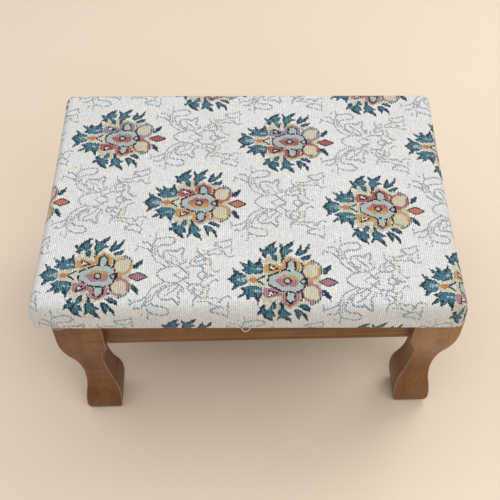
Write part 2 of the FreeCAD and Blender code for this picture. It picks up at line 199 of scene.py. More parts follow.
# Dark strokes from the tips of the leaves into them
LEAF_VEINS = [
    [(-43.5, 18.3), (-39.5, 14), (-36, 11)], [(-36.4, 20), (-34.5, 15.5)], [(-26, 24), (-27, 17.5),
     (-29.5, 14)], [(-26, 34.5), (-23.5, 30.5), (-21, 25.5)], [(-18.5, 37.5), (-14, 40.8), (-11.3, 42.4)],
    [(-19.5, 36), (-17, 31)], [(-7.8, 41), (-6.4, 36), (-6.8, 31)], [(8, 30), (11.5, 38.6)], [(15, 34.5),
     (19.4, 40.8)], [(9, 28), (14, 31)], [(-50, 11), (-47.5, 6.5), (-43, 6.5)], [(-54, 0), (-51, 1.4)],
    [(39, 18.2), (35.5, 12.5)],
]

# Scrollwork: the pale lobes as outlines that are filled, and the grey lines drawn round and between them.
SCROLL_LOBES = [
    [(-39.5, 33), (-39.3, 23), (-38, 19), (-33, 13), (-24, 8), (-20, 9), (-30, 17), (-34, 24), (-35, 31),
     (-28, 33.3), (-22, 34.5), (-19, 38), (-21, 41.5), (-28, 42.5), (-34, 41), (-38, 38)],
    [(-56, 38), (-53, 31), (-47.5, 29.5), (-40.5, 25), (-40, 31), (-44, 36), (-49.5, 35.5), (-50.5, 39),
     (-51, 46), (-54, 48.5), (-60, 49.5), (-55, 43)],
    [(-28, 26), (-22, 27), (-16.5, 25), (-11, 31), (-9.7, 26), (-11.5, 21), (-8, 13), (-14, 10), (-24, 14),
     (-29, 21)],
    [(-33, 0), (-32, 3), (-28, 6), (-20, 9), (-13, 9), (-9, 5), (-3, 9.5), (8, 10), (10, 4), (13, 3),
     (14, 0)],
    [(19, 37), (26, 38.5), (33, 42), (35, 36), (28, 31), (21, 33.5)],
    [(3, 27), (8, 22), (12, 12), (4, 11), (1, 16), (5, 21)],
]
SCROLL_LINES = [
    [(-38, 38.5), (-36, 40), (-31, 41.5), (-28, 42.8), (-24, 42.8), (-20.5, 41.5), (-19, 39), (-19.3, 36.5),
     (-21.5, 34.5), (-25, 33), (-31, 33.2), (-34, 31.5), (-35, 29), (-34.7, 27), (-33.5, 24), (-32, 20.5),
     (-30.5, 18)],
    [(-39.5, 34), (-39.5, 28), (-39.3, 23), (-38, 19), (-35.5, 15.5), (-30.5, 11.5), (-24, 8), (-29.5, 5.5),
     (-32, 2), (-33, 0)],
    [(-37, 33), (-37.2, 27), (-36, 22)], [(-66, 52), (-58, 49.5), (-54, 48.5), (-51, 46), (-52, 43.5),
     (-55.5, 40), (-56, 37), (-54, 33), (-53.5, 30), (-55, 26.5)],
    [(-49.5, 35.5), (-47, 36.5), (-44, 36), (-42, 33.5), (-40.5, 30)], [(-50, 30), (-47.5, 29.5),
     (-44.5, 28.5), (-42, 26.5), (-40, 24)], [(-43.5, 49), (-43, 42)], [(-38, 48), (-37.5, 41)], [(-60, 55),
     (-52, 54), (-44, 55), (-36, 53)], [(-28, 26), (-25.5, 27), (-22, 27), (-19, 27.5), (-16.5, 25),
     (-15.5, 27.5), (-13, 30), (-11, 31)],
    [(-9.8, 30), (-9.6, 26), (-11.5, 24.5), (-11.5, 20), (-9, 16)], [(-29, 24), (-29.5, 20), (-26, 16),
     (-20.5, 13)], [(-24, 23.5), (-20.5, 21), (-17, 19), (-15.5, 16.5), (-13, 14), (-12, 11)],
    [(-20.5, 18), (-20, 13)], [(-7, 18), (-6.5, 13.5)], [(-17, 9), (-13, 9.5), (-10, 6), (-7, 4), (-3, 3)],
    [(-1.5, 17), (-3, 14), (-2.5, 11), (0, 10.5), (5, 9.5), (8, 10), (9.5, 7), (10, 4)],
    [(2.5, 31), (2.7, 27), (4.5, 25), (8, 22), (11, 24.5), (14, 22.5), (20, 25)],
    [(7, 27.7), (13, 27.2), (16.5, 28), (20, 30), (24, 31.5), (27, 31)],
    [(0.5, 19), (3, 20.5), (6.5, 21)], [(3, 15), (6.5, 16.5), (10, 19)], [(15, 19), (16.3, 14), (15.5, 10)],
    [(11, 20), (11, 12)], [(18.7, 38), (18.5, 34), (21, 33.5), (24, 32)], [(21, 38), (26, 38.5), (30, 40),
     (34, 42.5)], [(25, 27.5), (28, 27), (28.5, 24.5), (31, 22), (34, 21.5), (37, 23)],
    [(34, 32), (34.5, 27)], [(20, 24), (23, 23.5), (28, 25.5)], [(17, 8), (20, 5), (22.5, 4), (24, 5.5)],
    [(12, 3.5), (15, 1), (20, 0)],
]
YELLOW_STROKES = [
    [(13.5, 20), (14, 15), (13, 11)], [(8, 25), (15, 24.5)],
]


def within(outline, across, along):
    """True for the points inside a closed outline: a ray to the right crosses its edges an odd number of
    times."""
    inside = np.zeros(across.shape, bool)
    ends = outline[1:] + outline[:1]
    for (x0, y0), (x1, y1) in zip(outline, ends):
        if y0 == y1:
            continue
        crosses = (y0 > along) != (y1 > along)
        inside ^= crosses & (across < x0 + (along - y0) * (x1 - x0) / (y1 - y0))
    return inside


def near_line(points, width, across, along, closed=False):
    """True for the points nearer than half the width to a line of straight runs."""
    near = np.zeros(across.shape, bool)
    ends = points[1:] + (points[:1] if closed else [])
    for (x0, y0), (x1, y1) in zip(points, ends):
        run_x, run_y = x1 - x0, y1 - y0
        length = max(run_x * run_x + run_y * run_y, 1e-6)
        share = np.clip(((across - x0) * run_x + (along - y0) * run_y) / length, 0, 1)
        near |= np.hypot(across - x0 - share * run_x, along - y0 - share * run_y) < width / 2
    return near


def in_ellipse(centre_x, centre_y, half_x, half_y, across, along):
    """True for the points inside an upright ellipse."""
    return ((across - centre_x) / half_x) ** 2 + ((along - centre_y) / half_y) ** 2 < 1


def lattice_place(across, along, start):
    """Each cloth point's place about the nearest point of the half-drop lattice, and that point's row."""
    u, v = turned(across - start[0], along - start[1], -CLOTH_TURN)
    half_u, half_v = REPEAT_ACROSS / 2, REPEAT_ALONG / 2
    below = np.floor(v / half_v).astype(int)
    choices = []
    for row in (below, below + 1):
        local_u = (u - row % 2 * half_u + half_u) % REPEAT_ACROSS - half_u
        local_v = v - row * half_v
        choices.append((local_u, local_v, row, np.abs(local_u) / half_u + np.abs(local_v) / half_v))
    lower, upper = choices
    return [np.where(upper[3] < lower[3], high, low) for low, high in zip(lower[:3], upper[:3])]


class Cloth:
    """The colour of every stitch, laid one shape over another."""

    def __init__(self, across, along):
        self.column = np.floor(across / FACE).astype(int)
        self.row = np.floor(along / FACE).astype(int)
        self.colour = np.full(across.shape + (3,), YARN["cream"], float)

    def lay(self, where, yarn, cover=1.0):
        """Colours the stitches of a shape. A cover under 1 leaves a share of them as they were, in a fixed
        scatter."""
        if cover < 1:
            scatter = np.abs(np.sin(self.column * 12.9898 + self.row * 78.233) * 43758.5453) % 1
            where = where & (scatter < cover)
        self.colour[where] = YARN[yarn]

    def lay_dotted(self, where, yarn):
        """Colours a shape as an outline of single stitches, two columns out of three on each pick."""
        self.colour[where & ((self.column + self.row) % 3 > 0)] = YARN[yarn]

    def lay_ribbed(self, where, yarn, other, share=1.0):
        """Colours a shape in columns by turns: one yarn, then the same with a share of another twisted in."""
        self.colour[where & (self.column % 2 == 0)] = YARN[yarn]
        mixed = share * np.array(YARN[other]) + (1 - share) * np.array(YARN[yarn])
        self.colour[where & (self.column % 2 == 1)] = mixed


def lay_scroll(cloth, u, v):
    """The pale scrollwork between two palmettes, drawn above its axis and mirrored below."""
    v = np.abs(v)
    for shape in SCROLL_LOBES:
        cloth.lay(within(shape, u, v), "ice", 0.7)
        cloth.lay_dotted(near_line(shape, 1.3, u, v, closed=shape[0][1] > 0), "grey")
    for line in SCROLL_LINES:
        cloth.lay_dotted(near_line(line, 1.6, u, v), "grey")
    for line in YELLOW_STROKES:
        cloth.lay(near_line(line, 1.6, u, v), "pale_gold", 0.6)
    lozenge = np.abs(u + 10) / 8 + v / 5
    cloth.lay(lozenge < 1, "ice", 0.7)
    cloth.lay_dotted((lozenge < 1.05) & (lozenge > 0.78), "grey")
    ring = np.hypot(u - 8.5, v)
    cloth.lay_dotted((ring < 4.6) & (ring > 2.8), "grey")


def lay_palmette(cloth, u, v, row):
    """One palmette, drawn above its axis and mirrored below, with the bright wefts of its row."""
    upper = v >= 0
    v = np.abs(v)
    kind = row % 3

    def bright(where, part):
        """Colours a shape with the row's bright yarn for that part: one for above the axis, one for below."""
        above, below, sage = BRIGHT_PARTS[part]
        for index, brights in enumerate(ROW_BRIGHTS):
            here = where & (kind == index)
            cloth.lay_ribbed(here & upper, brights[above], "sage", sage)
            cloth.lay_ribbed(here & ~upper, brights[below], "sage", sage)

    cloth.lay(within(HALO, u, v), "sage", 0.8)
    for leaf in LEAVES + [TRIDENT, LEAFLET]:
        inside = within(leaf, u, v / LEAF_REACH)
        cloth.lay_ribbed(inside, "teal", "mid_teal")
        cloth.lay(inside, "light_teal", 0.12)
        cloth.lay(inside & ~within(leaf, u + 1.6, v / LEAF_REACH - 0.6), "deep_teal", 0.7)
        cloth.lay(inside & ~within(leaf, u - 1.7, v / LEAF_REACH + 1.2), "navy", 0.85)
        cloth.lay(near_line(leaf, 1.2, u, v / LEAF_REACH, closed=True) & ~inside, "teal", 0.55)
    for line in LEAF_VEINS:
        cloth.lay(near_line(line, 1.5, u, v), "navy", 0.8)
    cloth.lay(within(TRIDENT_MIDRIB, u, v), "aqua", 0.7)
    cloth.lay(in_ellipse(-27.5, 12, 4.2, 1.2, u, v), "aqua", 0.6)
    cloth.lay_ribbed(near_line(HATCHED_ARC, 3.6, u, v), "deep_teal", "aqua")
    lobe = ((u - 21.5) / 8.8) ** 2 + ((v - 11.5) / 9.4) ** 2
    cloth.lay_ribbed(lobe < 1, "straw", "sage")
    bright((lobe < 1.05) & (lobe > 0.6) & (v - 11.5 > (u - 21.5) * 1.6 + 3), "half")
    bright((lobe < 1.1) & (lobe > 0.55) & (v - 11.5 < (u - 21.5) * 1.6 - 7), "half")
    bright(in_ellipse(19, 0, 4, 5.5, u, v), "half")
    cloth.lay(near_line([(12.5, 9), (14, 16), (12.5, 20)], 1.6, u, v), "black", 0.85)
    bright(within(BUD, u, v) & (v < 24), "half")
    bright(within(BUD, u, v) & (v >= 24), "arc")
    cloth.lay(within(BUD_ARCH, u, v), "aqua")
    cloth.lay(near_line(BUD_ARCH, 1.9, u, v), "black", 0.85)
    bright(within(LEFT_BRIGHT, u, v), "half")
    cloth.lay(within(LEFT_WEDGE, u, v), "cream")
    cloth.lay(near_line(LEFT_WEDGE, 1.8, u, v, closed=True), "black", 0.85)
    cloth.lay(within(ALMOND, u, v), "aqua")
    cloth.lay(near_line(ALMOND, 1.9, u, v), "black", 0.85)
    cloth.lay((u > 15.8) & (u < 18.2) & (v < 4), "black")
    bright(within(ALMOND_CORE, u, v) & (v > 2), "half")
    bright(within(ALMOND_CORE, u, v) & (v <= 2), "axis")
    eye = np.hypot(u, v)
    cloth.lay(eye < 3.8, "black")
    cloth.lay(eye < 2.2, "aqua")
    cloth.lay((u > 11) & (u < 15) & (np.abs(v - (u - 11) * 0.8) < 0.9), "black")
    wedge = (u < -20.5) & (u > -29.5) & (v < (u + 29.5) * 0.67)
    cloth.lay_ribbed(wedge, "cream", "aqua")
    cloth.lay(wedge & (v > (u + 29.5) * 0.67 - 2.0), "black")
    cloth.lay_ribbed(in_ellipse(-31.5, 0, 3.8, 2.8, u, v), "gold", "salmon")
    diamond = np.where(u < 37, (u - 28) / 9, (46.5 - u) / 9.5)
    lens = 5.4 * np.clip(diamond, 0, 1) ** 0.7
    cloth.lay((diamond > 0) & (v < lens), "navy")
    bright((diamond > 0.2) & (v < lens - 1.5), "axis")


def tapestry(across, along):
    """The linear colour of the cloth at the middle of every stitch."""
    cloth = Cloth(across, along)
    u, v, _ = lattice_place(across, along, (MOTIF_X + REPEAT_ACROSS / 2, MOTIF_Y))
    lay_scroll(cloth, u, v)
    u, v, row = lattice_place(across, along, (MOTIF_X, MOTIF_Y))
    lay_palmette(cloth, u, v, 1 - row)
    return to_linear(cloth.colour)


# The pad's shape


def pad_section():
    """The pad's section as points from the top to the foot: a superellipse over the shoulder, then an ellipse
    that draws the side in again. Returns the distance along the cloth, the reach outwards and the height."""
    turn = np.linspace(0, np.pi / 2, 120)
    over_x = SECTION_FLAT + (SECTION_WIDEST - SECTION_FLAT) * np.sin(turn) ** 0.8
    over_z = WIDEST_HEIGHT + (SIDE_TOP - WIDEST_HEIGHT) * np.cos(turn) ** 0.8
    under_x = SECTION_FOOT + (SECTION_WIDEST - SECTION_FOOT) * np.cos(turn[1:]) ** 0.5
    under_z = WIDEST_HEIGHT - (WIDEST_HEIGHT - FRAME_TOP) * np.sin(turn[1:]) ** 0.8
    out = np.concatenate([[0.0], over_x, under_x])
    height = np.concatenate([[SIDE_TOP], over_z, under_z])
    along = np.concatenate([[0.0], np.cumsum(np.hypot(np.diff(out), np.diff(height)))])
    return along, out, height


SECTION = pad_section()
SHOULDER_DEPTH = 20.0
SIDE_DEPTH = float(SECTION[0][-1])


def pad_surface(across, along, inset):
    """The pad's surface over cloth places, drawn in and lowered by an inset. Inside the corner centres the
    place is the cloth's own. Beyond them the larger overhang is the distance down the section, and the share
    of the smaller in it turns the section round the corner, from 0 to 45 degrees. The corner's plan is a
    superellipse, with a shallow fold low on each side of it, the short sides pull in between their corners,
    and soft waves make the top and the side uneven."""
    over_x = np.maximum(np.abs(across) - CORNER_X, 0)
    over_y = np.maximum(np.abs(along) - CORNER_Y, 0)
    depth = np.maximum(over_x, over_y)
    share = np.minimum(over_x, over_y) / np.maximum(depth, 1e-6)
    turn = share * np.pi / 4
    far, near = np.cos(turn), np.sin(turn)
    turn_x = np.where(over_x >= over_y, far, near)
    turn_y = np.where(over_x >= over_y, near, far)
    squarer = (far ** CORNER_SQUARENESS + near ** CORNER_SQUARENESS) ** (-1 / CORNER_SQUARENESS)
    reach = np.interp(depth, SECTION[0], SECTION[1])
    reach = np.maximum(reach - inset * reach / SECTION_WIDEST, 0) * squarer
    lower = np.clip((depth - FOLD_START) / (SIDE_DEPTH - FOLD_START), 0, 1)
    reach = reach - FOLD_DEPTH * lower * np.exp(-((turn - FOLD_TURN) / FOLD_WIDTH) ** 2)
    reach = reach + 0.5 * lower * (1 - lower) * 4 * smooth_wave(5, across, along, reach=24)
    height = np.interp(depth, SECTION[0], SECTION[2]) - inset
    x = np.clip(across, -CORNER_X, CORNER_X) + np.sign(across) * reach * turn_x
    y = np.clip(along, -CORNER_Y, CORNER_Y) + np.sign(along) * reach * turn_y
    between = 1 - np.clip(np.abs(y) / PAD_HALF_Y, 0, 1) ** 2
    x = x - SIDE_PULL * np.sign(x) * (np.abs(x) / PAD_HALF_X) ** 3 * between
    crown_x = 1 - np.clip(np.abs(x) / CROWN_HALF_X, 0, 1) ** 2.4
    crown_y = 1 - np.clip(np.abs(y) / CROWN_HALF_Y, 0, 1) ** 2.4
    height = height + CROWN * (crown_x * crown_y) * (1 + 0.16 * smooth_wave(8, x, y, reach=70))
    return np.stack([x, y, height], axis=-1)


def turned_pad(points):
    """Points of the pad turned a little on the frame, about the pad's middle."""
    return np.stack([*turned(points[..., 0], points[..., 1], PAD_TURN), points[..., 2]], axis=-1)


def closed_parts(name, parts, faces, smooth=True):
    """One piece of many closed parts that have the same faces, with every face looking outwards."""
    faces = np.concatenate([faces + number * len(part) for number, part in enumerate(parts)])
    piece = new_mesh(name, parts, faces, smooth)
    shape = bmesh.new()
    shape.from_mesh(piece.data)
    bmesh.ops.recalc_face_normals(shape, faces=shape.faces)
    shape.to_mesh(piece.data)
    shape.free()
    return piece


def rim_of(index):
    """The border of a grid of point numbers, in one turn round it."""
    return np.concatenate([index[0, :-1], index[:-1, -1], index[-1, :0:-1], index[:0:-1, 0]])


def even_steps(half, step):
    """Places from minus half to plus half, as near to the step as a whole number of faces allows."""
    return np.linspace(-half, half, int(round(2 * half / step)) + 1)


def side_points(rim_across, rim_along, depths, inset):
    """Points of a side band: the turn round the corner is the rim's own, and the section's depth grows."""
    places = []
    for rim, corner in ((rim_across, CORNER_X), (rim_along, CORNER_Y)):
        held = np.clip(rim, -corner, corner)
        places.append(held + (rim - held) * depths[:, None] / SHOULDER_DEPTH)
    return pad_surface(*places, inset)


def pad_mesh(name, inset, step, flange):
    """A pad: a grid of the cloth over its top and shoulder, a band down its side all round, and a flat flange
    below that runs in to an opening. Returns the object and each face corner's place on the cloth."""
    top_across, top_along = np.meshgrid(even_steps(CORNER_X + SHOULDER_DEPTH, step),
                                        even_steps(CORNER_Y + SHOULDER_DEPTH, step))
    top = pad_surface(top_across, top_along, inset)
    top_faces = grid_faces(*top.shape[:2])
    rim = rim_of(np.arange(top_across.size).reshape(top_across.shape))
    rim_across, rim_along = top_across.ravel()[rim], top_along.ravel()[rim]

    side_steps = int(round((SIDE_DEPTH - SHOULDER_DEPTH) / step))
    depths = np.linspace(SHOULDER_DEPTH, SIDE_DEPTH, side_steps + 1)
    side = side_points(rim_across, rim_along, depths, inset)
    reach = np.linspace(0, 1, flange + 1)[1:, None, None]
    foot = side[-1]
    opening = np.stack([FRAME_MIDDLE + rim_across / (CORNER_X + SHOULDER_DEPTH) * OPENING_X,
                        rim_along / (CORNER_Y + SHOULDER_DEPTH) * OPENING_Y, foot[:, 2]], axis=-1)
    under = foot + (opening - foot) * reach
    points = np.concatenate([part.reshape(-1, 3) for part in (top, side[1:], under)])

    bands = len(depths) - 1 + flange
    below = np.arange(bands * len(rim)).reshape(bands, -1) + top_across.size
    ladder = np.concatenate([rim[None], below])
    after = np.roll(ladder, -1, axis=1)
    faces = np.concatenate([top_faces, band_faces(ladder[:-1], ladder[1:], after[1:], after[:-1])])

    flange_length = np.linalg.norm(opening - foot, axis=1).mean()
    deeper = np.concatenate([depths, depths[-1] + np.linspace(0, flange_length, flange + 1)[1:]])
    extra = deeper[:, None] - deeper[0]
    middle_across, middle_along = [(way + np.roll(way, -1)) / 2 for way in (rim_across, rim_along)]
    on_long_side = np.abs(middle_along) - CORNER_Y >= np.abs(middle_across) - CORNER_X
    corner_places = []
    for way, middle, grows, flat in ((rim_across, middle_across, ~on_long_side, top_across),
                                     (rim_along, middle_along, on_long_side, top_along)):
        down = np.where(grows, np.sign(middle) * extra, 0)
        here, there = way + down, np.roll(way, -1) + down
        band = band_faces(here[:-1], here[1:], there[1:], there[:-1])
        corner_places.append(np.concatenate([flat.ravel()[top_faces], band]))
    return new_mesh(name, turned_pad(points), faces), *corner_places


def make_cover():
    """The tapestry cover, where every face is one stitch. Each face corner keeps its place on the cloth, in
    millimetres, and its stitch's linear colour."""
    piece, across, along = pad_mesh("cover", 0.0, FACE, 5)
    places = piece.data.uv_layers.new(name="cloth")
    places.data.foreach_set("uv", np.stack([across, along], axis=-1).astype(np.float32).ravel())
    colours = np.repeat(tapestry(across.mean(axis=1), along.mean(axis=1)), 4, axis=0)
    layer = piece.data.color_attributes.new("yarn_colour", "FLOAT_COLOR", "CORNER")
    filled = np.concatenate([colours, np.ones((len(colours), 1))], axis=1)
    layer.data.foreach_set("color", filled.astype(np.float32).ravel())
    return piece


def slab_mesh(name, half, bottom, top, rounding, crown, step):
    """A closed slab of foam: a grid over its top, whose height falls along a quarter circle near the edges
    and rises by a crown to the middle, a flat grid under it and a band between their rims."""
    x, y = np.meshgrid(even_steps(half[0], step), even_steps(half[1], step))
    inward = np.minimum(half[0] - np.abs(x), half[1] - np.abs(y))
    fall = 1 - np.clip(inward / rounding, 0, 1)
    rise = crown * (1 - (x / half[0]) ** 2) * (1 - (y / half[1]) ** 2)
    z = top - rounding * (1 - np.sqrt(1 - fall ** 2)) + rise
    points = [np.stack([x, y, part], axis=-1) for part in (z, np.full(x.shape, bottom))]
    rim = rim_of(np.arange(x.size).reshape(x.shape))
    after = np.roll(rim, -1)
    side = band_faces(rim, rim + x.size, after + x.size, after)
    flat = grid_faces(*x.shape)
    faces = np.concatenate([flat, flat[:, ::-1] + x.size, side])
    return new_mesh(name, points, faces)


def stretched_sheet(name, half, height, sag, step):
    """A thin cloth stapled round its edges: a grid that sags by the product of two parabolas, with a ripple
    between the staples that fades 20 mm in from the edge."""
    x, y = np.meshgrid(even_steps(half[0], step), even_steps(half[1], step))
    belly = (1 - (x / half[0]) ** 2) * (1 - (y / half[1]) ** 2)
    inward = np.minimum(half[0] - np.abs(x), half[1] - np.abs(y))
    edge_way = np.where(half[0] - np.abs(x) < half[1] - np.abs(y), y, x)
    ripple = 0.25 * np.clip(1 - inward / 20, 0, 1) * np.clip(inward / 4, 0, 1)
    ripple = ripple * np.sin(edge_way * np.pi / 8) ** 2
    z = height - sag * belly * (1 + 0.2 * smooth_wave(21, x, y, reach=40)) - ripple
    return new_mesh(name, np.stack([x + FRAME_MIDDLE, y, z], axis=-1), grid_faces(*x.shape)[:, ::-1])


def staple_row(name, half_x, half_y, height, start, seed):
    """Flat wire staples round a rectangle, a step apart, each with its crown along the edge and its legs
    going up. A staple is a bent bar of 16 points. Its turn and place vary a little."""
    dice = np.random.default_rng(seed)
    outer = [(-5.3, 1.4), (-5.3, -0.25), (5.3, -0.25), (5.3, 1.4)]
    inner = [(-4.9, 1.4), (-4.9, 0.2), (4.9, 0.2), (4.9, 1.4)]
    shape = np.array([[(o[0], -0.45, o[1]), (o[0], 0.45, o[1]), (i[0], 0.45, i[1]), (i[0], -0.45, i[1])]
                      for o, i in zip(outer, inner)]).reshape(-1, 3)
    faces = np.concatenate([grid_faces(4, 4, closed=True), [(0, 1, 2, 3), (12, 13, 14, 15)]])
    along_x = np.arange(-half_x + start, half_x - STAPLE_STEP / 2, STAPLE_STEP)
    along_y = np.arange(-half_y + start, half_y - STAPLE_STEP / 2, STAPLE_STEP)
    spots = [(x, side * half_y, 0.0) for x in along_x for side in (-1, 1)]
    spots += [(side * half_x, y, math.pi / 2) for y in along_y for side in (-1, 1)]
    parts = []
    for x, y, turn in spots:
        staple_x, staple_y = turned(shape[:, 0], shape[:, 1], turn + dice.normal(0, 0.12))
        staple_x = staple_x + x + FRAME_MIDDLE + dice.normal(0, 0.6)
        staple_y = staple_y + y + dice.normal(0, 0.6)
        parts.append(np.stack([staple_x, staple_y, height + shape[:, 2]], axis=-1))
    return closed_parts(name, parts, faces, smooth=False)


def yarn_ends(name, paths, radius):
    """Loose ends of yarn: six-sided tubes along parabolas, each given by its two ends and the point between
    them that pulls it."""
    share = np.linspace(0, 1, 14)[:, None]
    around = np.linspace(0, 2 * np.pi, 7)[:-1, None]
    ends = [(first, first + turn, first + turn + 1, first + turn + 2)
            for first in (0, (len(share) - 1) * 6) for turn in (1, 3)]
    parts = []
    for path in paths:
        start, pull, end = np.array(path, float)
        line = turned_pad((1 - share) ** 2 * start + 2 * share * (1 - share) * pull + share ** 2 * end)
        ahead = np.gradient(line, axis=0)
        ahead /= np.linalg.norm(ahead, axis=1, keepdims=True)
        aside = np.cross(ahead, (0.0, 1.0, 0.3))
        aside /= np.linalg.norm(aside, axis=1, keepdims=True)
        across = np.cross(ahead, aside)
        thick = radius * (0.6 + 0.4 * np.sin(np.pi * share))[:, :, None]
        ring = line[:, None] + thick * (np.cos(around) * aside[:, None] + np.sin(around) * across[:, None])
        parts.append(ring.reshape(-1, 3))
    return closed_parts(name, parts, np.concatenate([grid_faces(len(share), 6, closed=True), ends]))


# Shader nodes


# The kinds of the effects' sockets that aren't single numbers
SOCKET_KINDS = {"Place": "Vector", "Normal": "Vector", "Light": "Color", "Dark": "Color", "Color": "Color"}


def feed(socket, value):
    """Joins a value that is a socket, or sets a plain value."""
    if isinstance(value, bpy.types.NodeSocket):
        socket.id_data.links.new(value, socket)
    else:
        socket.default_value = value


def add(kind, values, tree=None, **settings):
    """Adds a node and returns its outputs. Values that are sockets are joined, and others are set. The node
    goes into the tree of its joined values, or else into the tree that is given."""
    for value in values.values():
        if isinstance(value, bpy.types.NodeSocket):
            tree = value.id_data
    node = tree.nodes.new("ShaderNode" + kind)
    for key, value in settings.items():
        setattr(node, key, value)
    for key, value in values.items():
        feed(node.inputs[key], value)
    return node.outputs


def calc(operation, first, second=0.0):
    """The result of one sum of one or two numbers."""
    return add("Math", {0: first, 1: second}, operation=operation)[0]


def times(first, second):
    """One number multiplied by another."""
    return calc("MULTIPLY", first, second)


def plus(first, second):
    """One number added to another."""
    return calc("ADD", first, second)


def blend(share, first, second, way="MIX"):
    """A blend of two colours."""
    return add("Mix", {0: share, 6: first, 7: second}, data_type="RGBA", blend_type=way)[2]


def span(value, low, high, to_low=0.0, to_high=1.0):
    """A value spread from one range to another, held at its ends."""
    return add("MapRange", {0: value, 1: low, 2: high, 3: to_low, 4: to_high})[0]


def noise(place, scale, detail=2.0, roughness=0.5, distortion=0.0):
    """Soft noise at a place."""
    return add("TexNoise", {"Vector": place, "Scale": scale, "Detail": detail, "Roughness": roughness,
                            "Distortion": distortion})["Fac"]


def waves(place, scale, distortion, detail=2.0, detail_scale=1.0, direction="Z"):
    """Bands at a place, bent by noise."""
    return add("TexWave", {"Vector": place, "Scale": scale, "Distortion": distortion, "Detail": detail,
                           "Detail Scale": detail_scale}, bands_direction=direction)["Fac"]


def upward(place):
    """The third part of a place or a direction."""
    return add("SeparateXYZ", {0: place})[2]


def stretch(place, scale, turn=(0, 0, 0), shift=(0, 0, 0)):
    """A place scaled, turned and shifted."""
    return add("Mapping", {"Vector": place, "Scale": scale, "Rotation": turn, "Location": shift})[0]


def bump(height, strength, distance, normal=None):
    """The surface's direction, tilted by a height."""
    values = {"Height": height, "Strength": strength, "Distance": distance}
    if normal is not None:
        values["Normal"] = normal
    return add("Bump", values)[0]


def new_effect(name, inputs, outputs):
    """A node group with named sockets. Returns the sockets that it takes from and gives to."""
    tree = bpy.data.node_groups.new(name, "ShaderNodeTree")
    for way, sockets in (("INPUT", inputs), ("OUTPUT", outputs)):
        for socket in sockets:
            kind = SOCKET_KINDS.get(socket, "Float")
            tree.interface.new_socket(socket, in_out=way, socket_type="NodeSocket" + kind)
    return tree.nodes.new("NodeGroupInput").outputs, tree.nodes.new("NodeGroupOutput").inputs


def close_effect(give, **results):
    """Joins an effect's results to its outputs and returns its node group."""
    for key, socket in results.items():
        feed(give[key], socket)
    return give[0].id_data


def use_effect(effect, **values):
    """Places a node group and returns its outputs."""
    return add("Group", values, node_tree=effect)


def new_material(name, rough=0.6, metallic=0.0, sheen=0.0, coat=0.0, specular=0.5):
    """A material with plain values set on its shader, and the places on the object itself, in metres."""
    material = bpy.data.materials.new(name)
    material.use_nodes = True
    shader = material.node_tree.nodes["Principled BSDF"]
    settings = {"Roughness": rough, "Metallic": metallic, "Sheen Weight": sheen, "Coat Weight": coat,
                "Coat Roughness": 0.3, "Specular IOR Level": specular}
    for key, value in settings.items():
        feed(shader.inputs[key], value)
    return material, add("TexCoord", {}, material.node_tree)["Object"]


def finish(material, color, normal=None, rough=None):
    """Joins what changes over the surface to the shader, and returns the material."""
    shader = material.node_tree.nodes["Principled BSDF"]
    for key, socket in (("Base Color", color), ("Roughness", rough), ("Normal", normal)):
        if socket is not None:
            feed(shader.inputs[key], socket)
    return material


# Effects that several finishes share


def grain_effect():
    """Wood grain along the third axis of its place: slow bands, fine streaks and dark pores.
    The bands are noise stretched 12 times along the grain, the streaks 40 times and the pores 25 times."""
    take, give = new_effect("wood_grain", ("Place", "Light", "Dark", "Pores"), ("Color", "Height", "Streaks"))
    bands = noise(stretch(take["Place"], (1, 1, 0.085)), 55, 3, 0.55, 0.6)
    streaks = noise(stretch(take["Place"], (1, 1, 0.025)), 420, 4, 0.6)
    pores = noise(stretch(take["Place"], (1, 1, 0.04)), 1500, 2, 0.5)
    share = plus(span(bands, 0.3, 0.7, 0, 0.62), span(streaks, 0.35, 0.68, 0, 0.38))
    color = blend(share, take["Dark"], take["Light"])
    pore_mask = times(span(pores, 0.56, 0.68), take["Pores"])
    color = blend(pore_mask, color, blend(0.55, color, take["Dark"], "MULTIPLY"))
    height = calc("SUBTRACT", times(streaks, 0.5), pore_mask)
    return close_effect(give, Color=color, Height=height, Streaks=streaks)


def wear_effect():
    """Worn edges: where a rounded direction differs from the flat one, broken up by noise."""
    take, give = new_effect("edge_wear", ("Place", "Radius", "Amount"), ("Mask", "Normal"))
    rounded = add("Bevel", {"Radius": take["Radius"]}, samples=6)[0]
    flat = add("NewGeometry", {}, rounded.id_data)["Normal"]
    alike = add("VectorMath", {0: rounded, 1: flat}, operation="DOT_PRODUCT")["Value"]
    patches = span(noise(take["Place"], 110, 4, 0.65), 0.3, 0.5)
    fine = span(noise(take["Place"], 900, 3, 0.6), 0.3, 0.6, 0.4, 1)
    mask = times(times(span(alike, 0.995, 0.86), patches), times(fine, take["Amount"]))
    return close_effect(give, Mask=calc("MINIMUM", mask, 1.0), Normal=rounded)


def nook_shade_and_grime_effect():
    """Painted shade and dirt in the nooks: darker where little of the sky is seen, broken up by noise."""
    take, give = new_effect("painted_nook_shade_and_grime", ("Place", "Reach", "Amount"), ("Mask",))
    shade = add("AmbientOcclusion", {"Distance": take["Reach"]}, samples=6)["AO"]
    patches = span(noise(take["Place"], 210, 3, 0.6), 0.3, 0.65, 0.35, 1)
    return close_effect(give, Mask=times(times(span(shade, 0.85, 0.35), patches), take["Amount"]))


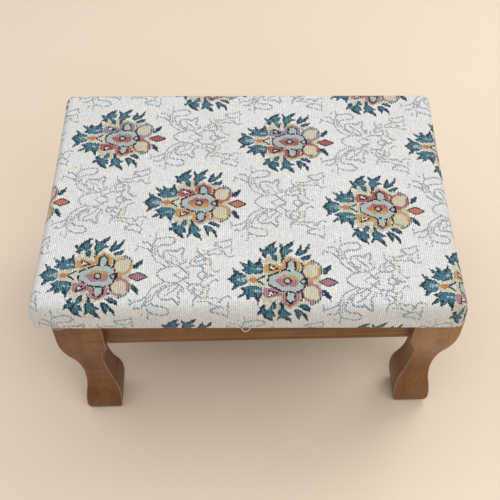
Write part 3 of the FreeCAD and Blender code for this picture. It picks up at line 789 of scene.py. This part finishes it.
def yarn_effect():
    """A ribbed weave on cloth places in millimetres: ribs along the second axis, crossed by picks whose
    starts are half a pick apart in neighbouring ribs. Heights are sines, and the gaps lie between yarns."""
    take, give = new_effect("ribbed_weave", ("Place", "Rib", "Pick", "Unevenness"), ("Height", "Gap", "Tone"))
    parts = add("SeparateXYZ", {0: take["Place"]})
    wander = noise(stretch(take["Place"], (0.35, 0.12, 1)), 1.0, 2, 0.5)
    wander = times(calc("SUBTRACT", wander, 0.5), take["Unevenness"])
    rib_place = plus(calc("DIVIDE", parts[0], take["Rib"]), wander)
    rib = calc("SINE", times(calc("FRACT", rib_place), math.pi))
    half = times(calc("FLOORED_MODULO", calc("FLOOR", rib_place), 2), 0.5)
    pick_place = plus(calc("DIVIDE", parts[1], take["Pick"]), half)
    pick = calc("SINE", times(calc("FRACT", pick_place), math.pi))
    over = plus(times(calc("POWER", pick, 0.7), 0.55), 0.45)
    height = times(calc("POWER", rib, 0.6), over)
    cell = add("CombineXYZ", {0: calc("FLOOR", rib_place), 1: calc("FLOOR", pick_place)})[0]
    tone = add("TexWhiteNoise", {"Vector": cell}, noise_dimensions="3D")["Value"]
    return close_effect(give, Height=height, Gap=span(height, 0.5, 0.05), Tone=tone)


GRAIN = grain_effect()
WEAR = wear_effect()
NOOK_SHADE_AND_GRIME = nook_shade_and_grime_effect()
YARN_WEAVE = yarn_effect()


# Finishes


WORN = paint(204, 168, 128)
GRAIN_TURNS = {"x": (0, math.pi / 2, 0), "y": (math.pi / 2, 0, 0), "z": (0, 0, 0)}


def old_wood(name, axis, light, dark, shift, low=(1, 1, 1, 1), figure=0.0):
    """Stained and waxed hardwood with worn arrises, and painted shade with dirt in its nooks. low multiplies
    the colour near the floor, fading out from 70 to 115 mm up: partly the foot's own darker tone, partly a
    painted sheen left on the upper part. figure is the strength of dark wavy streaks across the grain."""
    material, place = new_material(name, coat=0.07, specular=0.3)
    along = stretch(place, (1, 1, 1), GRAIN_TURNS[axis], shift)
    grain = use_effect(GRAIN, Place=along, Light=light, Dark=dark, Pores=0.6)
    edges = use_effect(WEAR, Place=place, Radius=0.0016, Amount=1.4)
    nook_shade_and_grime = use_effect(NOOK_SHADE_AND_GRIME, Place=place, Reach=0.010, Amount=0.7)
    patches = span(noise(place, 24, 3, 0.6), 0.35, 0.7)
    color = blend(times(patches, 0.12), grain["Color"], WORN)
    tilted = stretch(place, (0.3, 0.3, 1), (0.2, 0.35, 0), shift)
    gate = span(noise(place, 75, 2, 0.5), 0.42, 0.6)
    streak = times(gate, span(waves(tilted, 19.0, 11.0, 3.0, 1.3), 0.7, 0.98, 0, figure))
    color = blend(streak, color, blend(0.75, color, dark, "MULTIPLY"))
    # darker and more orange towards the floor: partly the foot's own tone, partly a painted sheen left on the
    # upper part
    color = blend(span(upward(place), 0.115, 0.07), color, blend(1.0, color, low, "MULTIPLY"))
    # painted shade with dirt: darker in the nooks and quirks, where ambient occlusion finds little sky
    color = blend(nook_shade_and_grime["Mask"], color, blend(0.7, color, dark, "MULTIPLY"))
    color = blend(edges["Mask"], color, WORN)
    rough = plus(span(grain["Streaks"], 0.3, 0.7, 0.38, 0.55), times(edges["Mask"], 0.15))
    return finish(material, color, bump(grain["Height"], 0.25, 0.0004, edges["Normal"]), rough)


def raw_wood(name, light, dark, shift):
    """Unfinished hardwood with its grain along the first axis and saw marks across it."""
    material, place = new_material(name, rough=0.85, specular=0.3)
    along = stretch(place, (1, 1, 1), GRAIN_TURNS["x"], shift)
    grain = use_effect(GRAIN, Place=along, Light=light, Dark=dark, Pores=0.35)
    edges = use_effect(WEAR, Place=place, Radius=0.0006, Amount=0.3)
    saw = waves(along, 90, 1.5)
    color = blend(times(saw, 0.12), grain["Color"], dark)
    height = plus(grain["Height"], times(saw, 0.4))
    return finish(material, color, bump(height, 0.4, 0.0003, edges["Normal"]))


def seat_plywood():
    """Plywood: grain along its length on the faces, and the edges of its plies by height."""
    material, place = new_material("seat_plywood", rough=0.8, specular=0.3)
    along = stretch(place, (1, 1, 1), GRAIN_TURNS["x"], (0.3, 0.1, 0.2))
    grain = use_effect(GRAIN, Place=along, Light=paint(206, 172, 124), Dark=paint(160, 116, 74), Pores=0.4)
    cross = span(calc("FRACT", times(upward(place), 1 / 0.0034)), 0.46, 0.54)
    facing = add("NewGeometry", {}, place.id_data)["Normal"]
    on_edge = span(calc("ABSOLUTE", upward(facing)), 0.7, 0.4)
    color = blend(on_edge, grain["Color"], blend(cross, grain["Color"], paint(138, 96, 58)))
    return finish(material, color, bump(grain["Height"], 0.35, 0.0003))


def old_steel(name, metal, dull, rough, painted=False):
    """Small steel hardware with tarnish and scuffs."""
    material, place = new_material(name, metallic=0.0 if painted else 1.0)
    spots = span(noise(place, 380, 4, 0.65), 0.42, 0.62)
    scuffs = span(noise(stretch(place, (1, 0.1, 1)), 2600, 2, 0.5), 0.5, 0.75)
    color = blend(times(scuffs, 0.35), blend(spots, metal, dull), metal)
    return finish(material, color, bump(scuffs, 0.2, 0.0001), span(spots, 0, 1, rough, rough + 0.2))


def open_foam():
    """Yellowed foam with open pores."""
    material, place = new_material("foam", rough=0.95, specular=0.15)
    pores = add("TexVoronoi", {"Vector": place, "Scale": 900.0})["Distance"]
    aged = span(noise(place, 30, 3, 0.6), 0.3, 0.7)
    color = blend(aged, paint(232, 214, 158), paint(206, 176, 112))
    # painted shade in the pore hollows: darker where the pores sink in
    color = blend(span(pores, 0.35, 0.1, 0, 0.5), color, paint(150, 122, 74))
    return finish(material, color, bump(pores, 0.6, 0.0006))


def loose_fibre():
    """White wadding, matted and fibrous."""
    material, place = new_material("wadding", rough=0.95, sheen=0.3, specular=0.15)
    swirl = add("TexNoise", {"Vector": place, "Scale": 60.0})["Color"]
    bent = add("Mix", {0: 0.02, 4: place, 5: swirl}, data_type="VECTOR")[1]
    one_way = noise(stretch(bent, (1, 0.06, 0.3), (0, 0, 0.5)), 900, 3, 0.6)
    other_way = noise(stretch(bent, (0.06, 1, 0.3), (0, 0, -0.3)), 700, 3, 0.6)
    fibres = calc("MAXIMUM", one_way, other_way)
    clumps = noise(place, 70, 4, 0.6)
    color = blend(span(fibres, 0.4, 0.7), paint(196, 192, 182), paint(240, 238, 230))
    color = blend(span(clumps, 0.35, 0.7, 0, 0.35), color, paint(214, 206, 188))
    return finish(material, color, bump(plus(fibres, times(clumps, 1.4)), 0.7, 0.001))


def black_cambric():
    """Thin black cloth stretched under the seat, dusty and a little faded."""
    material, place = new_material("dust_cloth", rough=0.9, sheen=0.2, specular=0.2)
    in_mm = stretch(place, (1000, 1000, 1000))
    weave = use_effect(YARN_WEAVE, Place=in_mm, Rib=0.9, Pick=0.9, Unevenness=0.1)
    dust = span(noise(place, 45, 5, 0.65), 0.42, 0.75)
    color = blend(weave["Tone"], paint(30, 30, 32), paint(46, 46, 48))
    color = blend(times(dust, 0.45), color, paint(112, 106, 98))
    return finish(material, color, bump(weave["Height"], 0.5, 0.0002))


def loose_yarn(name, light, dark):
    """Twisted cotton yarn, fluffy and uneven."""
    material, place = new_material(name, rough=0.95, sheen=0.3, specular=0.15)
    twist = waves(stretch(place, (1, 1, 1), (0, 0.6, 0)), 600, 2, direction="X")
    return finish(material, blend(span(twist, 0.2, 0.9), dark, light), bump(twist, 0.5, 0.0003))


def tapestry_finish():
    """The woven cover: the stitch colours, uneven from yarn to yarn, darker in the gaps, a little soiled."""
    material, place = new_material("tapestry", rough=0.88, sheen=0.18, specular=0.2)
    tree = material.node_tree
    color = add("Attribute", {}, tree, attribute_name="yarn_colour")["Color"]
    cloth = add("UVMap", {}, tree, uv_map="cloth")[0]
    weave = use_effect(YARN_WEAVE, Place=cloth, Rib=RIB, Pick=PICK, Unevenness=0.25)
    slub = noise(stretch(cloth, (0.8, 0.07, 1)), 1.0, 3, 0.6)
    for tone in (span(weave["Tone"], 0, 1, 0.88, 1.08), span(slub, 0.3, 0.7, 0.93, 1.05)):
        color = blend(1.0, color, add("CombineColor", {0: tone, 1: tone, 2: tone})[0], "MULTIPLY")
    shaded = blend(0.8, color, paint(96, 88, 90), "MULTIPLY")
    color = blend(times(weave["Gap"], 0.65), color, shaded)
    soil = span(noise(place, 16, 4, 0.6), 0.45, 0.8, 0, 0.08)
    color = blend(soil, color, paint(176, 158, 132), "MULTIPLY")
    return finish(material, color, bump(weave["Height"], 0.8, 0.0007))


# Dressing the carried-over nodes


def dress(names, material):
    """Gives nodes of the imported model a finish."""
    for name in names:
        slots = nodes[name].data.materials
        slots.clear()
        slots.append(material)


APRON_LIGHT, APRON_DARK = paint(140, 88, 37), paint(84, 48, 18)
dress(["leg_front_left"],
      old_wood("leg_wood_front_left", "z", paint(140, 86, 35), paint(81, 45, 16), (0, 0, 0),
               low=(0.94, 0.9, 0.84, 1), figure=0.4))
# The front right leg: paler colours than the other legs and a darker foot, partly its own tone and partly a
# painted sheen on its upper part
dress(["leg_front_right"],
      old_wood("leg_wood_front_right", "z", paint(175, 129, 84), paint(118, 77, 45), (0.4, 0.1, 0),
               low=(0.7, 0.56, 0.38, 1), figure=0.2))
dress(["leg_back_left", "leg_back_right"],
      old_wood("leg_wood_back", "z", paint(142, 90, 44), paint(84, 48, 20), (0.1, 0.5, 0), figure=0.3))
dress(["apron_front", "apron_back"],
      old_wood("apron_wood_long", "x", APRON_LIGHT, APRON_DARK, (0, 0.3, 0)))
dress(["apron_left", "apron_right"],
      old_wood("apron_wood_short", "y", APRON_LIGHT, APRON_DARK, (0.2, 0, 0.1)))
dress(["apron_dowels"], raw_wood("dowel_wood", paint(214, 184, 138), paint(176, 138, 92), (0, 0, 0)))
dress(["corner_block_" + corner for corner in ("front_left", "front_right", "back_left", "back_right")],
      raw_wood("block_wood", paint(204, 168, 118), paint(160, 118, 74), (0.2, 0.2, 0)))
dress(["seat_board"], seat_plywood())
dress(["seat_screws"], old_steel("screw_steel", paint(196, 188, 160), paint(120, 104, 78), 0.35))
dress(["foot_glides"], old_steel("glide_steel", paint(52, 46, 42), paint(24, 22, 20), 0.4, painted=True))

cover = make_cover()
cover.data.materials.append(tapestry_finish())
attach(cover, "root")
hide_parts("tapestry_cover")

wadding, _, _ = pad_mesh("wadding_layer", 1.6, 5, 3)
wadding.data.materials.append(loose_fibre())
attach(wadding, "root")
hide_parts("wadding")

foam = slab_mesh("foam_slab", (191, 135), 190.4, 205.0, 6, 4.0, 6)
foam.data.materials.append(open_foam())
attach(foam, "root")
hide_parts("foam_pad")

dust_sheet = stretched_sheet("dust_sheet", (146, 90), 176.8, 2.2, 4)
dust_sheet.data.materials.append(black_cambric())
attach(dust_sheet, "root")
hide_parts("dust_cover")

staple_finish = old_steel("staple_steel", paint(190, 186, 176), paint(126, 116, 100), 0.4)
for staples in (staple_row("cover_staples", 154, 98, 176.7, 12, 31),
                staple_row("dust_staples", 143, 87, 176.35, 4, 32)):
    staples.data.materials.append(staple_finish)
    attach(staples, "root")

white_ends = yarn_ends("white_yarn_ends", [
    [(-7, -143, 179), (-3, -149.5, 173), (3, -143, 179)],
    [(154, -143.9, 187), (156, -145.4, 181), (161, -143.5, 177.5)],
    [(166, -143.9, 187), (163, -145.4, 181), (160, -143.5, 177.5)],
], 0.4)
white_ends.data.materials.append(loose_yarn("white_yarn", paint(244, 240, 232), paint(208, 202, 192)))
red_ends = yarn_ends("red_yarn_ends", [
    [(-182, -142.5, 179), (-175, -146, 175.5), (-167, -142.5, 179)],
], 0.7)
red_ends.data.materials.append(loose_yarn("red_yarn", paint(206, 168, 150), paint(160, 104, 92)))
for ends in (white_ends, red_ends):
    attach(ends, "root")


# Camera, floor and light


# The photograph's camera, as fitted to it: its spot from the frame's middle before it is turned around the
# stool, how far it is turned, how far it looks down and its roll, then the picture's focal length and width
# in pixels.
CAMERA_SPOT = (-5.4, -590.0, 852.0)
CAMERA_AROUND = math.radians(1.15)
CAMERA_DOWN = math.radians(51.41)
CAMERA_ROLL = -0.0048
FOCAL_PIXELS = 876.8
PICTURE_PIXELS = 500
SENSOR_WIDTH = 36.0
# Half the side of the floor
FLOOR_HALF = 4000


def place_camera():
    """Sets up the camera: rolled, tipped to look down, moved to its spot and turned around the frame."""
    lens = bpy.data.cameras.new("photo_camera")
    lens.sensor_width = SENSOR_WIDTH
    lens.lens = FOCAL_PIXELS / PICTURE_PIXELS * SENSOR_WIDTH
    lens.clip_start, lens.clip_end = 0.01, 50
    camera = bpy.data.objects.new("photo_camera", lens)
    bpy.context.scene.collection.objects.link(camera)
    middle = Matrix.Translation((FRAME_MIDDLE * MM, 0, 0))
    around = Matrix.Rotation(-CAMERA_AROUND, 4, "Z")
    spot = Matrix.Translation(Vector(CAMERA_SPOT) * MM)
    tip = Matrix.Rotation(math.pi / 2 - CAMERA_DOWN, 4, "X")
    camera.matrix_world = middle @ around @ spot @ tip @ Matrix.Rotation(CAMERA_ROLL, 4, "Z")
    bpy.context.scene.camera = camera


def lay_floor():
    """A plain pale floor."""
    corners = [(x * FLOOR_HALF, y * FLOOR_HALF, 0) for x, y in ((-1, -1), (1, -1), (1, 1), (-1, 1))]
    floor = new_mesh("floor", corners, [(0, 1, 2, 3)], smooth=False)
    material, place = new_material("pale_floor", rough=0.6, specular=0.3)
    color = blend(noise(place, 3, 2, 0.5), paint(241, 224, 203), paint(235, 216, 193))
    floor.data.materials.append(finish(material, color))


def soft_light(name, place, aim, size, power, color=(1, 1, 1)):
    """A square soft light at a place, aimed at a point, both in millimetres."""
    lamp = bpy.data.lights.new(name, "AREA")
    lamp.size = size
    lamp.energy = power
    lamp.color = color
    light = bpy.data.objects.new(name, lamp)
    light.location = Vector(place) * MM
    light.rotation_euler = (Vector(aim) - Vector(place)).to_track_quat("-Z", "Y").to_euler()
    bpy.context.scene.collection.objects.link(light)


place_camera()
lay_floor()
soft_light("ceiling", (-300, -100, 2300), (0, 0, 100), 2.6, 25.5)
soft_light("window", (1100, 900, 1500), (0, 0, 100), 1.2, 12.5, (1.0, 0.98, 0.95))
soft_light("room", (500, -1300, 1700), (0, 0, 100), 1.4, 12.5)

world = bpy.data.worlds.new("room_light")
world.use_nodes = True
backdrop = world.node_tree.nodes["Background"].inputs
backdrop["Color"].default_value = (1, 1, 1, 1)
backdrop["Strength"].default_value = 0.35
bpy.context.scene.world = world
bpy.context.scene.view_settings.view_transform = "Standard"
